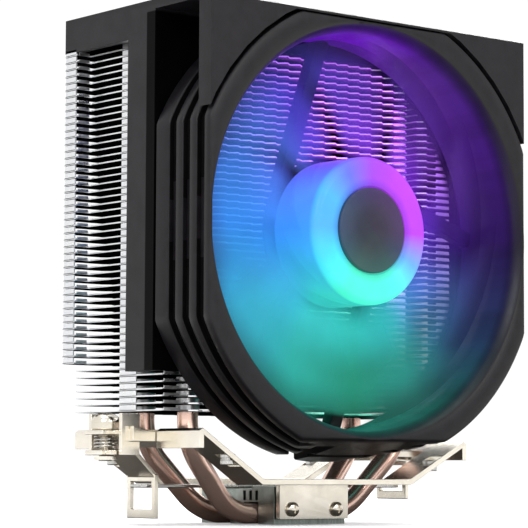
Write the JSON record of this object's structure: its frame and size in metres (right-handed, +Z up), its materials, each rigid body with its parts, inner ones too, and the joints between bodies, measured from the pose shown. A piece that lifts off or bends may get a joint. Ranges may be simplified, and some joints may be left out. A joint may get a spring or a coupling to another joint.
{
  "type": "cpu tower cooler",
  "caption": "CPU tower cooler: finned heat-pipe tower with a black shroud, one lit axial fan, and a screw-tensioned mounting frame.",
  "frame": {"origin": "centre of the base's contact face", "axes": "+Z up along the heat pipes, fan facing -Y, tension screw on -X"},
  "size_m": [0.1254, 0.076, 0.147],
  "materials": {
    "base_metal": "milled",
    "copper": "polished copper",
    "fin_metal": "rolled sheet",
    "black_plastic": "fine satin",
    "rubber": "matte",
    "steel": "satin",
    "board": "solder mask",
    "lamination": "stacked sheet",
    "brass": "turned",
    "nickel": "nickel plated",
    "screw_metal": "nickel plated",
    "lit_plastic": "milky, lit from inside",
    "dark_grey": "satin",
    "magnet": "bonded ferrite"
  },
  "bodies": {
    "cooler": {"base_block": "base_metal", "heat_pipe_front": "copper", "heat_pipe_rear": "copper", "fin_stack": "fin_metal", "top_cover": "black_plastic", "fan_frame": "black_plastic", "fan_pad_1": "rubber", "fan_pad_2": "rubber", "fan_pad_3": "rubber", "fan_pad_4": "rubber", "fan_screw_1": "steel", "fan_screw_2": "steel", "fan_screw_3": "steel", "fan_screw_4": "steel", "fan_pcb": "board", "stator_core": "lamination", "stator_coil_1": "copper", "stator_coil_2": "copper", "stator_coil_3": "copper", "stator_coil_4": "copper", "bearing_sleeve": "brass", "mounting_frame": "nickel", "frame_screw_1": "screw_metal", "frame_screw_2": "screw_metal", "frame_screw_3": "screw_metal", "frame_screw_4": "screw_metal", "frame_bushing_1": "steel", "frame_bushing_2": "steel", "frame_bushing_3": "steel", "frame_bushing_4": "steel", "guide_bar": "steel", "hook_right": "nickel", "tension_yoke": "nickel", "tension_spring": "steel"},
    "rotor": {"impeller": "lit_plastic", "hub_cap": "dark_grey", "rotor_yoke": "steel", "magnet_ring": "magnet", "rotor_shaft": "steel"},
    "tension_screw": {"tension_screw": "screw_metal"},
    "tension_hook": {"hook_left": "nickel", "hook_nut": "nickel"}
  },
  "joints": [
    {"name": "rotor_spin", "type": "hinge", "parent": "cooler", "child": "rotor", "pos_m": [0, -0.035, 0.084], "axis": [0, 1, 0], "continuous": true},
    {"name": "screw_turn", "type": "hinge", "parent": "cooler", "child": "tension_screw", "pos_m": [-0.061, 0, 0.025], "axis": [0, 0, 1], "range_deg": [0, 1080]},
    {"name": "hook_lift", "type": "slide", "parent": "cooler", "child": "tension_hook", "axis": [0, 0, 1], "range_m": [0, 0.0021], "deforming": ["tension_spring"]}
  ],
  "couplings": [
    {"joint": "screw_turn", "follows": "hook_lift", "rad_per_m": 8970}
  ]
}
